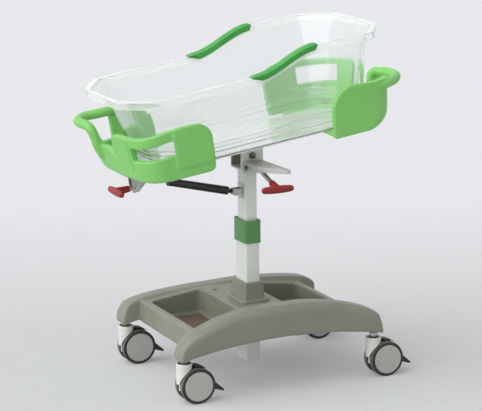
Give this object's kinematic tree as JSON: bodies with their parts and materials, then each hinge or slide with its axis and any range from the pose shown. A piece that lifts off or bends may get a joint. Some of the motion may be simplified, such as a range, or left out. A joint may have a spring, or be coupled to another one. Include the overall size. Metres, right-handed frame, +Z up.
{
  "type": "hospital bassinet",
  "caption": "Hospital bassinet: clear tub in green bumpers on a tilting cradle, with a height-adjustable column and a grey castored base with storage bays.",
  "frame": {"origin": "on the floor under the middle of the whole length, in the middle of the width", "axes": "+Z up, +X towards the raised head end, -Y towards the side with the height release"},
  "size_m": [0.8724, 0.484, 0.9937],
  "materials": {
    "base_grey": "textured moulding",
    "bumper_green": "satin moulding",
    "grip_green": "soft grip",
    "collar_green": "satin moulding",
    "column_paint": "powder coat",
    "steel": "zinc plated",
    "strut_black": "gloss paint",
    "handle_red": "dipped plastic",
    "caster_white": "satin nylon",
    "pedal_black": "moulded",
    "wheel_rubber": "tread with grey hub cap",
    "nylon": "natural nylon",
    "tub_clear": "clear acrylic"
  },
  "bodies": {
    "base": {"base_moulding": "base_grey", "chassis_plate": "steel", "column_outer_tube": "column_paint", "column_end_plate": "column_paint", "column_foot_cover": "base_grey", "column_guide_collar": "collar_green", "lift_spring_cylinder": "strut_black", "caster_stem_foot_front": "steel", "caster_stem_foot_back": "steel", "caster_stem_head_front": "steel", "caster_stem_head_back": "steel"},
    "upper_column": {"column_inner_tube": "column_paint", "column_guide_shoe": "nylon", "lift_spring_rod": "steel", "column_head": "column_paint", "tilt_pivot_bolt": "steel", "height_palm_plate": "column_paint", "height_lever_pin": "steel", "strut_clevis": "steel", "strut_lower_pin": "steel"},
    "height_lever": {"height_release_lever": "steel", "height_release_handle": "handle_red"},
    "cradle": {"cradle_plate": "column_paint", "cradle_pivot_bracket": "column_paint", "strut_hanger": "steel", "strut_upper_pin": "steel", "tilt_lever_pin": "steel", "bumper_head": "bumper_green", "bumper_foot": "bumper_green"},
    "tilt_lever": {"tilt_release_lever": "steel", "tilt_release_handle": "handle_red"},
    "strut_barrel": {"strut_barrel": "strut_black"},
    "strut_rod": {"strut_rod": "steel"},
    "tub": {"tub": "tub_clear", "rim_grip_front": "grip_green", "rim_grip_back": "grip_green"},
    "caster_foot_front": {"caster_housing_foot_front": "caster_white", "caster_axle_foot_front": "steel"},
    "wheels_foot_front": {"wheel_outer_foot_front": "wheel_rubber", "wheel_inner_foot_front": "wheel_rubber"},
    "pedal_foot_front": {"brake_pedal_foot_front": "pedal_black"},
    "caster_foot_back": {"caster_housing_foot_back": "caster_white", "caster_axle_foot_back": "steel"},
    "wheels_foot_back": {"wheel_outer_foot_back": "wheel_rubber", "wheel_inner_foot_back": "wheel_rubber"},
    "pedal_foot_back": {"brake_pedal_foot_back": "pedal_black"},
    "caster_head_front": {"caster_housing_head_front": "caster_white", "caster_axle_head_front": "steel"},
    "wheels_head_front": {"wheel_outer_head_front": "wheel_rubber", "wheel_inner_head_front": "wheel_rubber"},
    "pedal_head_front": {"brake_pedal_head_front": "pedal_black"},
    "caster_head_back": {"caster_housing_head_back": "caster_white", "caster_axle_head_back": "steel"},
    "wheels_head_back": {"wheel_outer_head_back": "wheel_rubber", "wheel_inner_head_back": "wheel_rubber"},
    "pedal_head_back": {"brake_pedal_head_back": "pedal_black"}
  },
  "joints": [
    {"name": "height_slide", "type": "slide", "parent": "base", "child": "upper_column", "axis": [0, 0, 1], "range_m": [-0.06, 0.16]},
    {"name": "tilt", "type": "hinge", "parent": "upper_column", "child": "cradle", "pos_m": [0.02248, 0, 0.63335], "axis": [0, -1, 0], "range_deg": [-20.2, 3.8]},
    {"name": "tub_lift", "type": "slide", "parent": "cradle", "child": "tub", "axis": [-0.1426, 0, 0.9898], "range_m": [0, 0.3]},
    {"name": "strut_barrel_swing", "type": "hinge", "parent": "upper_column", "child": "strut_barrel", "pos_m": [-0.02052, 0, 0.52735], "axis": [0, -1, 0], "range_deg": [-24, 4]},
    {"name": "strut_rod_swing", "type": "hinge", "parent": "cradle", "child": "strut_rod", "pos_m": [-0.30331, 0, 0.59449], "axis": [0, -1, 0], "range_deg": [-3, 1]},
    {"name": "height_release", "type": "hinge", "parent": "upper_column", "child": "height_lever", "pos_m": [0.02248, -0.067, 0.60635], "axis": [-1, 0, 0], "range_deg": [0, 5], "stiffness_Nm_per_rad": 5, "springref_deg": -5.73},
    {"name": "tilt_release", "type": "hinge", "parent": "cradle", "child": "tilt_lever", "pos_m": [-0.32081, 0, 0.56873], "axis": [0, 1, 0], "range_deg": [0, 8], "stiffness_Nm_per_rad": 4, "springref_deg": -5.73},
    {"name": "swivel_foot_front", "type": "hinge", "parent": "base", "child": "caster_foot_front", "pos_m": [-0.27002, -0.212, 0.1], "axis": [0, 0, 1], "continuous": true},
    {"name": "roll_foot_front", "type": "hinge", "parent": "caster_foot_front", "child": "wheels_foot_front", "pos_m": [-0.23702, -0.212, 0.05], "axis": [0, 1, 0], "continuous": true},
    {"name": "brake_foot_front", "type": "hinge", "parent": "caster_foot_front", "child": "pedal_foot_front", "pos_m": [-0.23702, -0.212, 0.05], "axis": [0, 1, 0], "range_deg": [0, 10]},
    {"name": "swivel_foot_back", "type": "hinge", "parent": "base", "child": "caster_foot_back", "pos_m": [-0.27002, 0.212, 0.1], "axis": [0, 0, 1], "continuous": true},
    {"name": "roll_foot_back", "type": "hinge", "parent": "caster_foot_back", "child": "wheels_foot_back", "pos_m": [-0.23702, 0.212, 0.05], "axis": [0, 1, 0], "continuous": true},
    {"name": "brake_foot_back", "type": "hinge", "parent": "caster_foot_back", "child": "pedal_foot_back", "pos_m": [-0.23702, 0.212, 0.05], "axis": [0, 1, 0], "range_deg": [0, 10]},
    {"name": "swivel_head_front", "type": "hinge", "parent": "base", "child": "caster_head_front", "pos_m": [0.31498, -0.212, 0.1], "axis": [0, 0, 1], "continuous": true},
    {"name": "roll_head_front", "type": "hinge", "parent": "caster_head_front", "child": "wheels_head_front", "pos_m": [0.34798, -0.212, 0.05], "axis": [0, 1, 0], "continuous": true},
    {"name": "brake_head_front", "type": "hinge", "parent": "caster_head_front", "child": "pedal_head_front", "pos_m": [0.34798, -0.212, 0.05], "axis": [0, 1, 0], "range_deg": [0, 10]},
    {"name": "swivel_head_back", "type": "hinge", "parent": "base", "child": "caster_head_back", "pos_m": [0.31498, 0.212, 0.1], "axis": [0, 0, 1], "continuous": true},
    {"name": "roll_head_back", "type": "hinge", "parent": "caster_head_back", "child": "wheels_head_back", "pos_m": [0.34798, 0.212, 0.05], "axis": [0, 1, 0], "continuous": true},
    {"name": "brake_head_back", "type": "hinge", "parent": "caster_head_back", "child": "pedal_head_back", "pos_m": [0.34798, 0.212, 0.05], "axis": [0, 1, 0], "range_deg": [0, 10]}
  ],
  "couplings": [
    {"joint": "strut_barrel_swing", "follows": "tilt", "ratio": 1.005},
    {"joint": "strut_rod_swing", "follows": "tilt", "ratio": 0.005}
  ]
}
